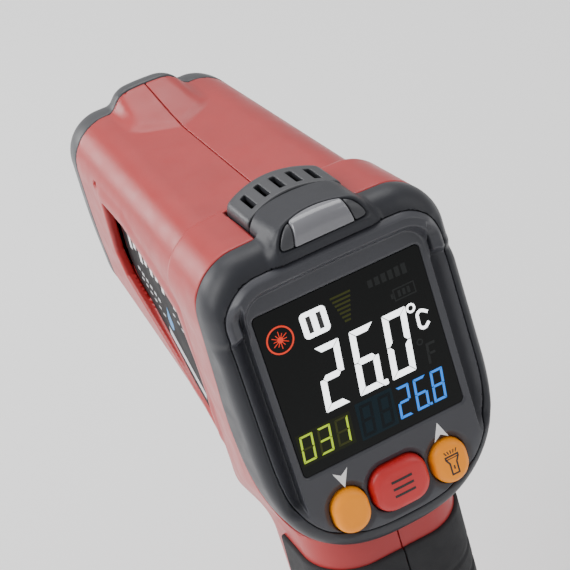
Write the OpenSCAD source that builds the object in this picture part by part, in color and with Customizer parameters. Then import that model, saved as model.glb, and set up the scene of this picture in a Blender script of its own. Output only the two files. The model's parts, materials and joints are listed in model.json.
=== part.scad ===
// Pistol-grip infrared thermometer with a colour display.
// +X is to the right of a person holding it, +Y points out of the muzzle and +Z points up.
// The origin is the centre of the flat face at the bottom of the grip. Millimetres and degrees.

/* [Display] */
// How far the display leans back from the vertical
lean = 12; // [6:1:18]
// Height of the middle of the display over the foot of the grip
disp_z = 118; // [114:1:122]
// How far the middle of the display lies behind the middle of the foot
disp_back = 10; // [8:1:12]
// Width of the display window
win_w = 35; // [33:0.5:36]
// Height of the display window
win_h = 33.4; // [31:0.2:34]
// Thickness of the window plate
win_t = 1.2; // [1:0.1:1.4]
// Thickness of the plate that carries the window and the buttons
frame_t = 2.2; // [2:0.1:2.4]

/* [Head and barrel] */
// Half of the width of the head
head_hw = 25; // [24:0.5:26]
// Half of the width at the muzzle
muzzle_hw = 20; // [19:0.5:20.5]
// Height of the barrel's flat top
barrel_top = 142.4; // [141:0.2:143]
// Lowest point of the barrel at the muzzle
muzzle_bottom = 98; // [97:0.5:100]
// Place along Y where the red housing ends and the muzzle ring starts
muzzle_y = 77; // [75:0.5:79]
// Length of the muzzle ring that shows
muzzle_len = 7.6; // [7:0.2:8]
// Wall thickness of the mouldings
wall = 2.2; // [2:0.1:2.4]

/* [Grip] */
// Half of the depth of the grip at its foot
foot_hd = 19; // [18.5:0.25:19.5]
// Half of the width of the grip at its foot
foot_hw = 17.5; // [17:0.25:18]
// Thickness of the rubber on the grip
rubber_t = 0.8; // [0.6:0.1:1]

/* [Buttons] */
// Height of the buttons over the frame
button_rise = 2; // [1.5:0.1:2.4]
// Travel of a button
button_travel = 0.8; // [0.5:0.1:0.8]
// Gap round a button
button_gap = 0.25; // [0.2:0.05:0.3]
// Width of the middle button
mode_w = 12.2; // [11.5:0.1:12.4]
// Width of an outer button
side_w = 7.6; // [7:0.1:7.8]
// Height of the buttons' outlines
button_h = 9.6; // [9:0.1:10]

/* [Trigger] */
// Radius of the trigger's pin
pin_r = 1.5; // [1.2:0.1:1.6]
// Running gap round the pin
pin_fit = 0.05; // [0.02:0.01:0.08]
// Width of the trigger
trigger_w = 12; // [11:0.5:12]

/* [Battery] */
// Radius of a battery
cell_r = 5.2; // [5.1:0.05:5.25]
// Length of a battery
cell_len = 44; // [43.5:0.1:44.5]
// Half of the width of the battery door
door_hw = 11; // [10.5:0.25:11]
// Height of the door's hinge over the foot
door_pivot_z = 8; // [8:0.25:9]
// Height of the door's upper edge
door_top_z = 56; // [54:0.5:57]

/* [Hidden] */

round_fn = 64;         // fineness of round pieces
gap = 0.3;             // gap between mouldings that meet
far = 200;             // longer than the whole object
ring_n = 48;           // points in a ring of a loft
barrel_p = 4;          // squareness of the barrel's section
head_p = 7;            // squareness of the head's upper half
chin_p = 2.6;          // squareness of the head's lower half
head_u0 = -8;          // where the head's two halves meet, along the display
side_u = -26.8;        // middle of an outer button, along the display
side_x = 11;           // middle of an outer button
axis_z = disp_z + 1;   // height of the sensor's axis
laser_z = 138;         // height of the laser's axis
torch_z = 104.8;       // height of the torch's axis
trigger_y = 23;        // trigger pin, along Y
trigger_z = 95;        // trigger pin, height
door_y = 17.2;         // door hinge, along Y
door_r = 2.1;          // radius of the door's rolled lower edge
stub_r = 0.9;          // radius of the door's stub pins
stub_len = 1.6;        // length of a stub pin
board_t = 1.6;         // thickness of a circuit board
screw_r = 1.1;         // radius of a screw's shank
screw_head_r = 2.2;    // radius of a screw's head
screw_seat = 13.5;     // depth from the middle at which a screw's head sits
grille_y0 = 6.4;       // rear edge of the sounder grille on the middle line
grille_y1 = 17.4;      // front edge of the sounder grille on the middle line
grille_r = 22;         // radius of the grille's edges, as seen from above
slot_pitch = 3.4;      // pitch of the grille's slots
slot_len = 5.2;        // length of a slot
lamp_y = -6.6;         // rear face of the alarm lamp
lamp_z = 144.8;        // lower edge of the alarm lamp
cone_r = 8.8;          // outer radius of the sensor's cone
cone_y0 = 56;          // rear end of the cone
lens_y = 70.9;         // rear face of the infrared lens
torch_r = 4;           // radius of the torch's lens
spring_z = 84;         // height of the trigger's spring
cell_y = 9.6;          // middle of the cells, along Y
cell_x = [-5.4, 5.4];  // middles of the cells, along X
side_taper = 3.4;      // how far the barrel's sides close in towards the muzzle
label_x = 21.2;        // outer face of a side wall, out from the middle, at label_y
label_y = 40;          // place along Y that a side wall's taper turns about
label_floor = 19.5;    // floor of the label's recess
rim_u = 13.5;          // lower end of the raised rim, along the display
board_x = 6.4;         // inner face of the main board
// Screws in the grip and posts behind the main board, as [y, z]. The muzzle ring and the bezel
// hold the two housings together at their ends.
screws = [[1, 80], [3, 62], [-8, 17]];
board_posts = [[20, 104], [50, 126]];
// A small blind hole in the left wall, over the label
dimple_r = 0.8;
dimple = [64.5, 134.5];
// Posts of the display board, as [x, u] in the display's frame
display_posts = [[-13, 20.6], [13, 20.6], [-14, -19.2], [14, -19.2]];
// Height of the display board's face under the display, and of a button's lower face
board_n = -8;
button_n = -3.4;

function spow(v, e) = sign(v) * pow(abs(v), e);

// A ring with its own squareness above and below the middle height u0
function ring(hw, top, bottom, u0, pu, pl) = [for (i = [0:ring_n - 1])
  let (t = 360 * i / ring_n, p = t < 180 ? pu : pl, b = t < 180 ? top - u0 : u0 - bottom)
  [hw * spow(cos(t), 2 / p), u0 + b * spow(sin(t), 2 / p)]];

// A point of the display's own frame: x, u up the display and n out of it
function on_display(x, u, n) = [x, u * sin(lean) - n * cos(lean) - disp_back,
  disp_z + u * cos(lean) + n * sin(lean)];

function display_ring(n, hw, top, bottom) =
  [for (p = ring(hw, top, bottom, head_u0, head_p, chin_p)) on_display(p.x, p.y, n)];

function barrel_ring(y, hw, top, bottom) =
  [for (p = ring(hw, top, bottom, (top + bottom) / 2, barrel_p, barrel_p)) [p.x, y, p.y]];

// The head and the barrel as rings from the display to the muzzle, w inside the outer skin
function body_rings(w) = [
  display_ring(w > 0 ? -frame_t - 0.4 : 0.5, head_hw - 1.6 - w, 25.6 - w, -36 + w),
  display_ring(w > 0 ? -4 : -2, head_hw - 0.4 - w, 27.4 - w, -37.2 + w),
  display_ring(-6, head_hw - w, 28.6 - w, -37.7 + w),
  display_ring(-11, head_hw - w, 28.2 - w, -37.7 + w),
  barrel_ring(15, 23.3 - w, barrel_top + 0.3 - w, 82 + w),
  barrel_ring(24, 22.3 - w, barrel_top - w, 87.5 + w),
  barrel_ring(50, 20.6 - w, barrel_top - w, 93 + w),
  barrel_ring(muzzle_y + (w > 0 ? 1 : 0), muzzle_hw - w, barrel_top - 0.1 - w,
    muzzle_bottom + w)];

// The raised ridge on top behind the muzzle, which ends at y
function ridge_rings(w, y) = [
  barrel_ring(58.5 + w, 0.6, barrel_top - w, 136),
  barrel_ring(66.5 + w, 8.8 - w, barrel_top + 1.7 - w, 136),
  barrel_ring(y, 8.2 - w, barrel_top + 3.7 - w, 136)];

function grip_ring(z, y, hd, hw) =
  [for (p = ring(hw, hd, -hd, 0, barrel_p, barrel_p - 1)) [p.x, y + p.y, z]];

// The grip as rings from its foot up into the head
function grip_rings(w) = [
  grip_ring(w > 0 ? w : 0, 0, foot_hd - 0.7 - w, foot_hw - 0.7 - w),
  grip_ring(w > 0 ? w + 2 : 2, 0.1, foot_hd - w, foot_hw - w),
  grip_ring(32, 2.2, foot_hd - 0.9 - w, foot_hw - 0.3 - w),
  grip_ring(62, 5.6, foot_hd - 2 - w, foot_hw - 0.9 - w),
  grip_ring(84, 9.4, foot_hd - 1.6 - w, foot_hw - 0.2 - w),
  grip_ring(92, 11.5, foot_hd - 1 - w, foot_hw + 0.5 - w)];

module loft(rings) {
  n = len(rings[0]);
  last = (len(rings) - 1) * n;
  polyhedron(points = [for (r = rings) for (p = r) p],
    faces = concat([[for (i = [0:n - 1]) i]], [[for (i = [n - 1:-1:0]) last + i]],
      [for (k = [0:n:last - n]) for (i = [0:n - 1]) let (j = (i + 1) % n)
        each [[k + i, k + n + i, k + n + j], [k + i, k + n + j, k + j]]]));
}

// The same rings taken the other way round, for a loft that climbs
module loft_up(rings) loft([for (r = rings) [for (i = [len(r) - 1:-1:0]) r[i]]]);

module display_frame_of_reference()
  translate([0, -disp_back, disp_z]) rotate([90 - lean, 0, 0]) children();

// A plate in the display's frame, from n0 to n1
module plate(w, h, n0, n1, r = 1) translate([0, 0, n0]) linear_extrude(n1 - n0)
  rounded(w, h, r);

module rounded(w, h, r) {
  square([w - 2 * r, h], center = true);
  square([w, h - 2 * r], center = true);
  for (x = [-1, 1], y = [-1, 1])
    translate([x * (w / 2 - r), y * (h / 2 - r)]) circle(r, $fn = round_fn);
}

module block(low, high) translate(low) cube(high - low);

module along_y(r, y0, y1, x, z) translate([x, y0, z]) rotate([-90, 0, 0])
  cylinder(r = r, h = y1 - y0, $fn = round_fn);

module along_x(r, x0, x1, y, z) translate([x0, y, z]) rotate([0, 90, 0])
  cylinder(r = r, h = x1 - x0, $fn = round_fn);

// An outline in Y and Z drawn out along X
module side_prism(points, x0, x1) translate([x0, 0, 0]) rotate([90, 0, 90])
  linear_extrude(x1 - x0) polygon(points);

// The space behind the parting line between the grey bezel and the red housing
module bezel_space(g) side_prism([[-60, 170], [1 + g, 170], [1 + g, 111], [-13.6 + g, 77],
  [-60, 77]], -40, 40);

// Outline of the display frame inside the bezel, grown by g
module frame_outline(g) polygon(ring(20.4 + g, 23.5 + g, -34.2 - g, head_u0, head_p, 3.4));

// Outline of the raised rim over the display, grown by g
module rim_outline(g) intersection() {
  polygon(ring(23.2 + g, 25 + g, -30, head_u0, head_p, chin_p));
  translate([-40, rim_u - g]) square([80, 40]);
}

// The label's recess, as points in Y and Z
module label_outline() polygon([[60, 131.6], [61.5, 119], [59, 114], [43, 106], [31, 99.5],
  [20, 95.5], [18, 98], [19.5, 112], [21.5, 124], [30, 127.2], [47.5, 131.8]]);

module housing(side) difference() {
  union() {
    housing_wall(side);
    on_side(side, label_floor - 1.6, label_floor) offset(delta = 1) label_outline();
    trigger_boss(side);
    hinge_lug(side);
    screw_posts(side);
    if (side > 0) for (p = board_posts) along_x(2, board_x + board_t, label_floor - 1, p.x, p.y);
  }
  // The bores in which the battery door's stub pins turn
  along_x(stub_r + pin_fit, -door_hw - stub_len - gap, door_hw + stub_len + gap, door_y,
    door_pivot_z);
  for (s = screws) if (side < 0) {
    along_x(screw_head_r + 0.3, -30, -screw_seat, s.x, s.y);
    along_x(screw_r + 0.2, -screw_seat - 1, 1, s.x, s.y);
  } else along_x(screw_r, -1, 10, s.x, s.y);
}

module housing_wall(side) difference() {
  intersection() {
    union() {
      loft_up(body_rings(0));
      loft_up(ridge_rings(0, muzzle_y));
      loft(grip_rings(0));
    }
    block([side < 0 ? -far : 0, -far, -1], [side < 0 ? 0 : far, muzzle_y, far]);
  }
  bezel_space(0);
  loft_up(body_rings(wall));
  loft_up(ridge_rings(wall, muzzle_y + 1));
  loft(grip_rings(wall));
  trigger_slot();
  door_space();
  hood_space(gap);
  grille_space();
  on_side(side, label_floor, 40) label_outline();
  if (side < 0) along_x(dimple_r, -30, 0.8 - muzzle_hw, dimple.x, dimple.y);
}

// A pillar inside the housing that a screw runs through, or that it bites into
module screw_posts(side) for (s = screws)
  along_x(screw_head_r + 1, side < 0 ? -screw_seat - 0.6 : 0.05,
    side < 0 ? -0.05 : screw_seat - 0.5, s.x, s.y);

module trigger_slot() block([-trigger_w / 2 - 0.4, 12, 60.5], [trigger_w / 2 + 0.4, 35, 99]);

module door_space() {
  block([-door_hw - gap, 10, door_pivot_z], [door_hw + gap, 30, door_top_z + gap]);
  along_x(door_r + gap, -door_hw - gap, door_hw + gap, door_y, door_pivot_z);
  block([-door_hw - gap, door_y, door_pivot_z - door_r - gap],
    [door_hw + gap, 30, door_pivot_z]);
}

// The sounder grille's outline from above: two arcs that bulge towards the muzzle
function bulge(x) = sqrt(grille_r ^ 2 - x ^ 2) - grille_r;
function grille_arc(y, hw) = [for (x = [-hw:hw / 6:hw + 0.01]) [x, y + bulge(x)]];
module grille_outline(hw, y0, y1) polygon(concat(grille_arc(y0, hw),
  [for (i = [12:-1:0]) grille_arc(y1, hw)[i]]));
// The space of the hood and the grille together, or of the grille alone, over the head
module hood_space(g, y1 = grille_y1 + gap) translate([0, 0, 140]) linear_extrude(20)
  grille_outline(10.1 + g, -4, y1);
module grille_space() translate([0, 0, 138]) linear_extrude(30)
  grille_outline(10.1 + gap, grille_y0 - 0.15, grille_y1 + gap);

// What is drawn at the outer face of a side wall, from x0 to x1 out from the middle
module on_side(side, x0, x1) mirror([side < 0 ? 1 : 0, 0, 0])
  translate([label_x, label_y, 0]) rotate([0, 0, side_taper]) translate([-label_x, -label_y, 0])
    translate([x0, 0, 0]) rotate([90, 0, 90]) linear_extrude(x1 - x0) children();

// The wall beside the trigger that holds one end of its pin
module trigger_boss(side) difference() {
  block([side < 0 ? -13 : trigger_w / 2 + 0.4, trigger_y - 4.5, trigger_z - 4.5],
    [side < 0 ? -trigger_w / 2 - 0.4 : 13, trigger_y + 4.5, trigger_z + 4.5]);
  along_x(pin_r, -10, 10, trigger_y, trigger_z);
}

// The lug that holds a stub pin of the battery door
module hinge_lug(side)
  block([side < 0 ? -door_hw - gap - 2.6 : door_hw + gap, door_y - 3.4, door_pivot_z - 4],
    [side < 0 ? -door_hw - gap : door_hw + gap + 2.6, door_y + 0.7, door_pivot_z + 3]);

module rear_bezel() color("dimgray") difference() {
  union() {
    difference() {
      intersection() {
        loft_up(body_rings(0));
        union() {
          bezel_space(-0.05);
          hood_space(0, grille_y0 - 0.15);
        }
      }
      loft_up(body_rings(wall));
    }
    lamp_hood();
  }
  grille_space();
  display_frame_of_reference() translate([0, 0, -7]) linear_extrude(20) frame_outline(0.15);
  display_frame_of_reference() translate([0, 0, -3]) linear_extrude(20) rim_outline(0.15);
  block([-10, -20, lamp_z - 0.1], [10, lamp_y + 4.6, lamp_z + 3.3]);
  block([-6.1, -20, lamp_z - 0.1], [6.1, lamp_y + 4.6, lamp_z + 9]);
  along_y(1.7, lamp_y, lamp_y + 8, 0, lamp_z + 2);
}

// The raised hood over the display that holds the alarm lamp
module lamp_hood() hull() {
  block([-10.1, lamp_y - 0.6, 142.2], [10.1, 2, 142.4]);
  block([-10.1, lamp_y, 147.2], [10.1, 3, 147.4]);
  block([-7.4, lamp_y + 2, 149.2], [7.4, 5.5, 149.4]);
}

module display_frame() color("dimgray") display_frame_of_reference() difference() {
  union() {
    translate([0, 0, -frame_t]) linear_extrude(frame_t) frame_outline(0);
    translate([0, 0, -frame_t]) linear_extrude(frame_t + 2.6) difference() {
      rim_outline(0);
      polygon(ring(19.8, 22, -30, head_u0, head_p, chin_p));
    }
    for (p = display_posts) translate([p.x, p.y, board_n])
      cylinder(r = 1.8, h = -frame_t - board_n + 0.1, $fn = round_fn);
  }
  plate(win_w + 0.2, win_h + 0.2, -win_t - 0.2, 3);
  plate(win_w - 4, win_h - 3.4, -far, 3);
  for (b = buttons) button_prism(b, button_gap, -far, 3);
  for (p = display_posts) translate([p.x, p.y, board_n - 1])
    cylinder(r = 0.9, h = 5, $fn = round_fn);
}

// Buttons as [x, u, width, height]
buttons = [[0, -26.3, mode_w, button_h], [side_x, side_u, side_w, button_h - 0.4],
  [-side_x, side_u, side_w, button_h - 0.4]];

// A block with cut corners: the outline of a button grown by g
module button_prism(b, g, n0, n1) translate([b.x, b.y, n0]) linear_extrude(n1 - n0)
  let (w = b[2] / 2 + g, h = b[3] / 2 + g, c = 2.2)
    polygon([[w, h - c], [w - c, h], [c - w, h], [-w, h - c], [-w, c - h], [c - w, -h],
      [w - c, -h], [w, c - h]]);

module button(b) display_frame_of_reference() {
  button_prism(b, 0, button_n, button_rise);
  button_prism(b, 0.5, button_n, button_n + 0.9);
}

module mode_button() color("crimson") button(buttons[0]);
module up_button() color("orange") button(buttons[1]);
module down_button() color("orange") button(buttons[2]);

module display_window() color("black") display_frame_of_reference()
  plate(win_w, win_h, -win_t, 0);

module window_gasket() color("gray") display_frame_of_reference() difference() {
  plate(win_w - 0.6, win_h - 0.6, -win_t - 0.2, -win_t);
  plate(win_w - 4, win_h - 3.4, -far, 3);
}

module lcd_panel() color("lightslategray") display_frame_of_reference()
  translate([0, 0.75, 0]) plate(34, 34.5, -4.4, -2.3, 0.4);

module backlight() color("whitesmoke") display_frame_of_reference()
  translate([0, -0.75, 0]) plate(33, 31, -6.6, -4.5, 0.6);

module lcd_connector() color("pink") display_frame_of_reference()
  translate([-15, 15.4, -7.9]) cube([30, 2, 3.4]);

module display_board() color("green") display_frame_of_reference() difference() {
  translate([0, -3.8, 0]) plate(32, 52.4, board_n - board_t, board_n, 3);
  for (p = display_posts) translate([p.x, p.y, -20]) cylinder(r = 1.1, h = 20, $fn = round_fn);
}

module key_switches() color("silver") display_frame_of_reference() for (b = buttons)
  translate([b.x, b.y, board_n]) {
    translate([-3, -3, 0]) cube([6, 6, 3.1]);
    cylinder(r = 1.6, h = button_n - button_travel - 0.1 - board_n, $fn = round_fn);
  }

module display_screws() color("silver") display_frame_of_reference() for (p = display_posts)
  translate([p.x, p.y, board_n - board_t]) {
    translate([0, 0, -1.2]) cylinder(r = 1.7, h = 1.2, $fn = round_fn);
    cylinder(r = 0.9, h = 4.6, $fn = round_fn);
  }

module buzzer_grille() color("darkslategray") difference() {
  intersection() {
    translate([0, 0, 141.8]) linear_extrude(10) grille_outline(10, grille_y0, grille_y1);
    along_y(28.7, -5, 25, 0, 148.3 - 28.7);
  }
  translate([0, 0, 141]) linear_extrude(5.4)
    grille_outline(8.4, grille_y0 + 2, grille_y1 - 2);
  for (i = [-2:2]) let (x = i * slot_pitch, y = grille_y0 + 2.2 + bulge(x))
    block([x - 0.6, y, 140], [x + 0.6, y + slot_len, 160]);
}

module buzzer() color("black") translate([0, 11.5, 137]) difference() {
  cylinder(r = 6, h = 3.6, $fn = round_fn);
  translate([0, 0, 2.6]) cylinder(r = 1, h = 2, $fn = round_fn);
}

module lamp_frame() color("slategray") difference() {
  side_prism([[lamp_y, lamp_z], [lamp_y + 4, lamp_z], [lamp_y + 4, lamp_z + 3.1],
    [lamp_y + 1, lamp_z + 3.1]], -9.8, 9.8);
  block([-6, -20, lamp_z - 1], [6, 20, lamp_z + 9]);
}

module alarm_lens() color("lightgray") intersection() {
  block([-5.8, lamp_y - 0.3, lamp_z], [5.8, lamp_y + 4, lamp_z + 4.4]);
  translate([0, lamp_y + 11.7, lamp_z]) cylinder(r = 12, h = 9, $fn = round_fn);
}

module alarm_led() color("red") along_y(1.5, lamp_y + 4.1, lamp_y + 7.4, 0, lamp_z + 2);

module muzzle_ring() color("dimgray") difference() {
  union() {
    loft_up([barrel_ring(muzzle_y, muzzle_hw, barrel_top - 0.1, muzzle_bottom),
      barrel_ring(muzzle_y + muzzle_len - 2, muzzle_hw - 0.3, barrel_top - 0.3,
        muzzle_bottom + 0.3),
      barrel_ring(muzzle_y + muzzle_len, muzzle_hw - 1.8, barrel_top - 1.8,
        muzzle_bottom + 1.8)]);
    loft_up([barrel_ring(muzzle_y, 8.2, barrel_top + 3.6, 130),
      barrel_ring(muzzle_y + muzzle_len - 2, 7.6, barrel_top + 3.4, 130),
      barrel_ring(muzzle_y + muzzle_len, 6.2, barrel_top + 1.6, 130)]);
    loft_up([barrel_ring(muzzle_y - 4, muzzle_hw - wall - 0.2, barrel_top - wall - 0.3,
      muzzle_bottom + wall + 0.2), barrel_ring(muzzle_y + 1, muzzle_hw - wall - 0.2,
      barrel_top - wall - 0.3, muzzle_bottom + wall + 0.2)]);
  }
  loft_up([barrel_ring(muzzle_y - 5, muzzle_hw - wall - 1.7, barrel_top - wall - 1.8,
    muzzle_bottom + wall + 0.4), barrel_ring(muzzle_y + muzzle_len - 2.6,
    muzzle_hw - wall - 1.7, barrel_top - wall - 1.8, muzzle_bottom + wall + 0.4)]);
  along_y(cone_r + 0.1, 60, far, 0, axis_z);
  along_y(2.3, 60, far, 0, laser_z);
  along_y(3.1, 60, muzzle_y + 3.2, 0, laser_z);
  along_y(torch_r + 0.1, 60, far, 0, torch_z);
}

// The black cone that limits what the sensor sees, with a step for the lens
module sensor_cone() color("black") turned_along_y(axis_z) polygon([[5.2, cone_y0],
  [6.6, cone_y0], [6.6, 66], [cone_r, 66], [cone_r, muzzle_y + muzzle_len - 0.4],
  [cone_r - 0.7, muzzle_y + muzzle_len - 0.4], [6.3, 73.7], [6.3, lens_y], [5.2, lens_y]]);

// A section in radius and Y turned about an axis along Y at the height z
module turned_along_y(z) translate([0, 0, z]) rotate([-90, 0, 0])
  rotate_extrude($fn = round_fn) children();

module infrared_lens() color("darkslategray") along_y(6.25, lens_y, lens_y + 1.2, 0, axis_z);

module lens_ring() color("gold") turned_along_y(axis_z)
  translate([5.3, lens_y + 1.2]) square([0.95, 1.3]);

module thermopile_sensor() color("silver") {
  along_y(4.1, cone_y0 + 1, cone_y0 + 4.6, 0, axis_z);
  along_y(4.7, cone_y0 + 0.2, cone_y0 + 1, 0, axis_z);
  for (a = [45:90:315])
    along_y(0.25, cone_y0 - 5, cone_y0 + 0.3, 2.5 * cos(a), axis_z + 2.5 * sin(a));
}

module laser_module() color("gold") difference() {
  along_y(3, 69.5, muzzle_y + 3, 0, laser_z);
  along_y(1.2, muzzle_y + 1, muzzle_y + 4, 0, laser_z);
}

module torch_led() color("white") {
  along_y(3.6, 71, 72.2, 0, torch_z);
  along_y(1.8, 72.2, 74.4, 0, torch_z);
}

module torch_lens() color("aliceblue") turned_along_y(torch_z)
  polygon([[0, muzzle_y + 2], [torch_r, muzzle_y + 2], [torch_r, muzzle_y + 5.6],
    each [for (a = [0:10:90]) [torch_r * cos(a), muzzle_y + 5.6 + 1.4 * sin(a)]]]);

module main_board() color("green") difference() {
  block([board_x, 14, 100.5], [board_x + board_t, 55.5, 130]);
  for (p = board_posts) along_x(0.8, 0, 20, p.x, p.y);
}

module main_chips() color("black") {
  block([board_x - 1.2, 28, 110], [board_x, 37, 119]);
  block([board_x - 1, 42, 118], [board_x, 46, 123]);
  block([board_x - 1.6, 18, 120], [board_x, 22, 126]);
}

module board_capacitor() color("navy") along_x(2.5, board_x - 8, board_x, 46, 108);

// The flat cable from the display board to the main board
module ribbon_cable() color("tan") translate([0, 0, 112]) linear_extrude(8)
  polygon([[2, 0.6], [6, 3.6], [8.7, 10], [8.7, 22], [8.1, 22], [8.1, 10.2], [5.6, 4.1],
    [1.7, 1.2]]);

trigger_outline = [[19.6, 92], [20.6, 98.2], [25.4, 98.2], [29.5, 93.5], [33.8, 88.6],
  [34, 86], [31.9, 80], [31.4, 74], [33.2, 66.4], [32.4, 63.2], [29.4, 62.2], [21.4, 62.6]];

module trigger() color("darkslategray") difference() {
  side_prism(trigger_outline, -trigger_w / 2, trigger_w / 2);
  along_x(pin_r + pin_fit, -far, far, trigger_y, trigger_z);
  along_y(2.5, 10, 25, 0, spring_z);
}

module trigger_pin() color("silver") along_x(pin_r, -9.8, 9.8, trigger_y, trigger_z);

// The coil spring that pushes the trigger forward
module trigger_spring() color("silver") let (turns = 7, steps = 14, sides = 6, r = 1.7,
  wire = 0.25, y0 = 11.9, y1 = 22.8, n = turns * steps)
  loft([for (k = [0:n]) let (a = 360 * k / steps, y = y0 + (y1 - y0) * k / n)
    [for (i = [0:sides - 1]) let (b = 360 * i / sides, q = r + wire * cos(b))
      [q * cos(a), y + wire * sin(b), spring_z + q * sin(a)]]]);

module trigger_board() color("green") block([-6, 9.8, 66], [6, 11.4, 88]);

module trigger_switch() color("black") {
  block([-3, 11.4, 68], [3, 15, 74]);
  along_y(1.3, 15, 16.4, 0, 71);
}

// The rubber on one side of the grip
module grip_rubber(side) color("dimgray") difference() {
  intersection() {
    loft(grip_rings(-rubber_t));
    block([side < 0 ? -far : 0.15, -far, 9], [side < 0 ? -0.15 : far, 9, 72]);
  }
  loft(grip_rings(0));
  for (s = screws) along_x(screw_head_r + 0.5, -far, 0, s.x, s.y);
}
module left_grip() grip_rubber(-1);
module right_grip() grip_rubber(1);

module battery_door() color("firebrick") {
  difference() {
    intersection() {
      loft(grip_rings(0));
      union() {
        block([-door_hw, 12, door_pivot_z], [door_hw, 40, door_top_z]);
        along_x(door_r, -door_hw, door_hw, door_y, door_pivot_z);
      }
    }
    difference() {
      loft(grip_rings(wall));
      along_x(door_r, -door_hw, door_hw, door_y, door_pivot_z);
    }
  }
  along_x(stub_r, -door_hw - stub_len, -door_hw + 1, door_y, door_pivot_z);
  along_x(stub_r, door_hw - 1, door_hw + stub_len, door_y, door_pivot_z);
}

// The two cells stand side by side along the grip
module in_grip() translate([0, cell_y, 32]) rotate([-5.4, 0, 0]) children();

module battery_tray() color("black") in_grip() difference() {
  translate([-11.8, -6.6, -25.4]) cube([23.6, 8.6, 50.8]);
  for (x = cell_x) translate([x, 0, -24]) cylinder(r = cell_r + 0.15, h = 48, $fn = round_fn);
  translate([-10.6, 0, -24]) cube([21.2, 9, 48]);
}

module batteries() color("darkorange") in_grip() for (x = cell_x) translate([x, 0, -21]) {
  cylinder(r = cell_r, h = cell_len - 1, $fn = round_fn);
  cylinder(r = 1.9, h = cell_len, $fn = round_fn);
}

module battery_contacts() color("silver") in_grip() {
  translate([cell_x[0], 0.1, 23.1]) cube([cell_x[1] - cell_x[0], 1.8, 0.5]);
  for (x = cell_x) {
    translate([x, 0, 23.1]) cylinder(r = 4.4, h = 0.5, $fn = round_fn);
    translate([x - 4, -2.6, -23.9]) cube([8, 4.6, 0.4]);
    for (k = [0:2]) translate([x, 0, -23.2 + 0.8 * k]) rotate_extrude($fn = round_fn)
      translate([3.4 - 0.5 * k, 0]) circle(r = 0.35, $fn = 16);
  }
}

// A round wire swept through the points
function unit(v) = v / norm(v);
module wire(points, r, sides = 10) let (last = len(points) - 1)
  loft([for (i = [0:last])
    let (d = unit(points[min(i + 1, last)] - points[max(i - 1, 0)]),
      e = unit(cross(d, [1, 0.2, 0])), f = cross(d, e))
    [for (k = [0:sides - 1]) let (a = 360 * k / sides)
      points[i] + r * (cos(a) * e + sin(a) * f)]]);

module power_leads() color("red") for (side = [-1, 1])
  wire([[side * 4, 8, 57.9], [side * 4, 8, 90], [side * 3.6, 8.6, 96],
    [3.8 + side * 1.2, 12 + side, 102], [5.2, 15 + side * 2, 104], [5.7, 17 + side * 2, 104.4]],
    0.55);

module left_label() color("black") on_side(-1, label_floor, label_floor + 0.3)
  offset(delta = -0.8) label_outline();
module right_label() color("black") on_side(1, label_floor, label_floor + 0.3)
  offset(delta = -0.8) label_outline();

module housing_screws() color("silver") for (s = screws) {
  along_x(screw_head_r, -screw_seat - 1.6, -screw_seat, s.x, s.y);
  along_x(screw_r, -screw_seat, 8, s.x, s.y);
}

module left_housing() color("firebrick") housing(-1);
module right_housing() color("firebrick") housing(1);

left_housing();
right_housing();
rear_bezel();
display_frame();
display_window();
window_gasket();
lcd_panel();
backlight();
lcd_connector();
display_board();
key_switches();
display_screws();
mode_button();
up_button();
down_button();
buzzer_grille();
buzzer();
lamp_frame();
alarm_lens();
alarm_led();
muzzle_ring();
sensor_cone();
infrared_lens();
lens_ring();
thermopile_sensor();
laser_module();
torch_led();
torch_lens();
main_board();
main_chips();
board_capacitor();
ribbon_cable();
trigger();
trigger_pin();
trigger_spring();
trigger_board();
trigger_switch();
left_grip();
right_grip();
battery_door();
battery_tray();
batteries();
battery_contacts();
power_leads();
left_label();
right_label();
housing_screws();
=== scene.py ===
"""A pistol-grip infrared thermometer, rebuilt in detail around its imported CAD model.

The shells and caps are signed distance fields, in millimetres, that are meshed and then
pulled onto the exact surface. The display's segments and the small printed marks are plain
polygon meshes. Inner parts are the CAD's own, with procedural materials.
"""

import json
import math
from concurrent.futures import ThreadPoolExecutor

import bpy
import numpy as np
import openvdb
from mathutils import Matrix, Vector


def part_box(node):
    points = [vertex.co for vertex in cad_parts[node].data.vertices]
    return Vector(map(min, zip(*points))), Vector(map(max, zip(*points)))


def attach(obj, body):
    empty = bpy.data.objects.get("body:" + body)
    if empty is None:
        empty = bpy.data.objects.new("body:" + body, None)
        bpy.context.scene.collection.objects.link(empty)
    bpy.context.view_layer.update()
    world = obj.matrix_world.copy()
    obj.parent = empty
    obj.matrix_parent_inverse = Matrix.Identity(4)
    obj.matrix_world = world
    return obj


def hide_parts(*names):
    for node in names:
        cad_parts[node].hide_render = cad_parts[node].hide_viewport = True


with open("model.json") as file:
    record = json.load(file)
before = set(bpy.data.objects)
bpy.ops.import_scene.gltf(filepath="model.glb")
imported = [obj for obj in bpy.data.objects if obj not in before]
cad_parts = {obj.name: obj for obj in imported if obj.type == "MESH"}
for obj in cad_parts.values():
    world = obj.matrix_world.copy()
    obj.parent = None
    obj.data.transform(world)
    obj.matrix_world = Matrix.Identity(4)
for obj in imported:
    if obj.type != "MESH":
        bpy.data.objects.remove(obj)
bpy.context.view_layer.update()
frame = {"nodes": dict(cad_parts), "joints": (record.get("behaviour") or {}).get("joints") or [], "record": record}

MM = 0.001
NODES = frame["nodes"]


# ---------------------------------------------------------------- places from the frame

def box_mm(node):
    """Lowest and highest corner of a CAD node, in millimetres."""
    low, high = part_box(node)
    return np.array(low) / MM, np.array(high) / MM


def mid_z(node):
    return sum(corner[2] for corner in box_mm(node)) / 2


def joint(name):
    return next(j for j in frame["joints"] if j["name"] == name)


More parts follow.
